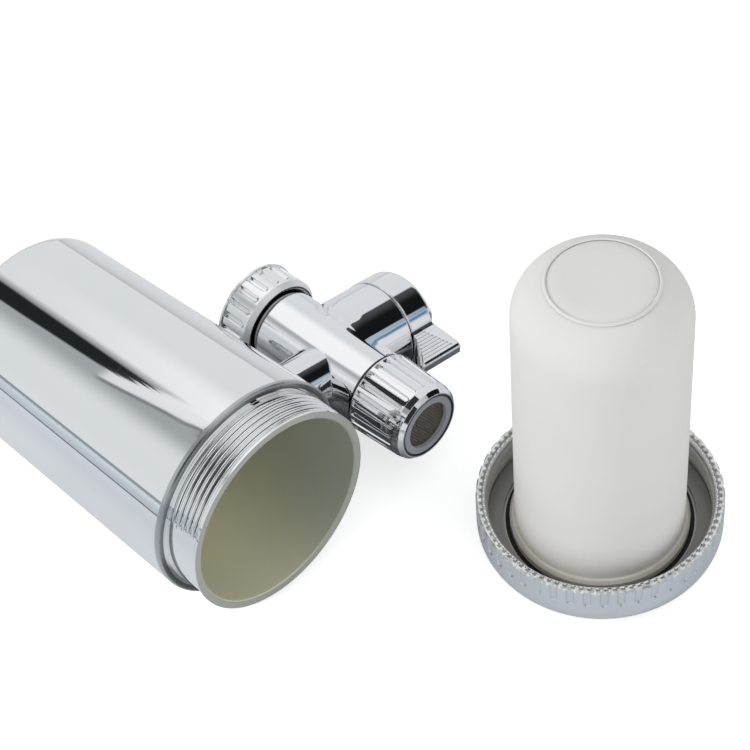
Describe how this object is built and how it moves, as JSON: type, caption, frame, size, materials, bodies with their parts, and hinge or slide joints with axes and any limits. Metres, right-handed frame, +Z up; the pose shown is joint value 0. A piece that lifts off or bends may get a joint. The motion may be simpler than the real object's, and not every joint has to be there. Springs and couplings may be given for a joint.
{
  "type": "faucet mount water filter",
  "caption": "Tap-mounted water filter, opened: a bright round canister with a threaded neck and a diverter valve on its flank, and its screw cap holding a white ceramic candle.",
  "frame": {"origin": "on the table, below the middle of the whole set's bounding box", "axes": "+Z up; +Y along the lying canister, from its open mouth to its closed end; +X towards the diverter valve and the screw cap"},
  "size_m": [0.1455, 0.2023, 0.1071],
  "materials": {
    "housing_chrome": "bright plated outside, plain cream plastic inside",
    "valve_chrome": "bright plated moulding",
    "collar_chrome": "bright plated moulding",
    "knob_chrome": "bright plated moulding",
    "nozzle_chrome": "bright plated moulding",
    "core_plastic": "plain off-white plastic",
    "seal_rubber": "matt black",
    "gasket_rubber": "matt black",
    "snap_steel": "sprung wire, plain",
    "strainer_steel": "plain",
    "screw_steel": "plain",
    "mesh_steel": "fine woven wire, darkened",
    "aerator_plastic": "grey, satin",
    "cap_plastic": "satin plated grey",
    "base_plastic": "cream, satin",
    "candle_ceramic": "unglazed, matt, finely porous"
  },
  "bodies": {
    "filter_set": {"housing": "housing_chrome", "stub_seal": "seal_rubber", "valve_body": "valve_chrome", "port_seal": "seal_rubber", "stem_bush": "core_plastic", "stem_rings": "seal_rubber", "snap_ring": "snap_steel", "inlet_strainer": "strainer_steel", "inlet_washer": "seal_rubber", "nozzle_shell": "nozzle_chrome", "outlet_washer": "seal_rubber", "aerator_cup": "aerator_plastic", "flow_disc": "aerator_plastic", "aerator_mesh": "mesh_steel", "screw_cap": "cap_plastic", "cap_gasket": "gasket_rubber", "base_seal": "gasket_rubber", "candle_base": "base_plastic", "outlet_nut": "base_plastic", "ceramic_candle": "candle_ceramic"},
    "tap_collar": {"collar_nut": "collar_chrome"},
    "diverter_knob": {"knob": "knob_chrome", "valve_core": "core_plastic", "knob_screw": "screw_steel", "knob_cover": "knob_chrome"}
  },
  "joints": [
    {"name": "collar_spin", "type": "hinge", "parent": "filter_set", "child": "tap_collar", "pos_m": [0.01902, 0.05423, 0.0205], "axis": [0, 0.9995, -0.0324], "continuous": true},
    {"name": "knob_turn", "type": "hinge", "parent": "filter_set", "child": "diverter_knob", "pos_m": [0.01902, 0.02824, 0.02134], "axis": [-0.9782, 0.0067, 0.2074], "range_deg": [0, 90]}
  ]
}
